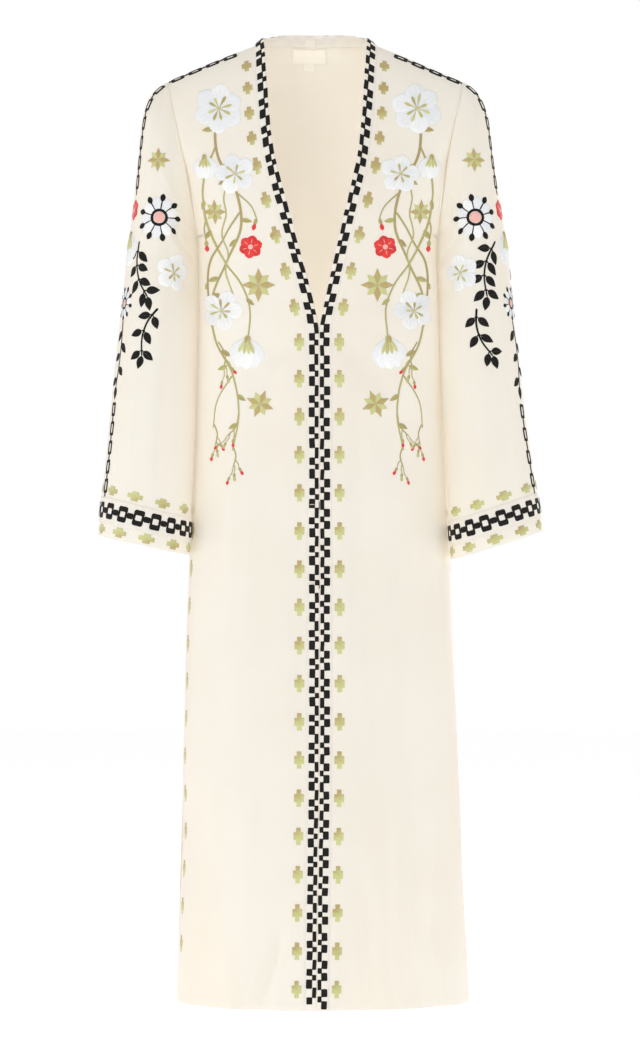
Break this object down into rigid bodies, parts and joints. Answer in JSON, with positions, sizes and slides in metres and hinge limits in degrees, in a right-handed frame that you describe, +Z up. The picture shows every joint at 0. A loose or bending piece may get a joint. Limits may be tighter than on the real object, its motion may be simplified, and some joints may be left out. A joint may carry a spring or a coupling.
{
  "type": "kimono coat",
  "caption": "Long open-fronted satin coat with a deep V neck, narrow checked front band, straight flared sleeves and trimmed cuffs.",
  "frame": {"origin": "midway between the neck ends of the two shoulder seams, where the wearer's shoulders hold the coat", "axes": "+Z up, the coat's front faces -Y, +X is the wearer's left"},
  "size_m": [0.5808, 0.2979, 1.2706],
  "materials": {
    "satin": "ivory satin, soft sheen",
    "band": "ivory satin with black satin-stitch squares",
    "cuff": "ivory satin with black satin-stitch links",
    "label": "plain woven label cloth"
  },
  "bodies": {
    "root": {"back_panel": "satin", "front_panel_left": "satin", "front_panel_right": "satin", "sleeve_left": "satin", "sleeve_right": "satin", "front_band_left": "band", "front_band_right": "band", "cuff_band_left": "cuff", "cuff_band_right": "cuff", "neck_label": "label", "size_tag": "label"}
  },
  "joints": []
}
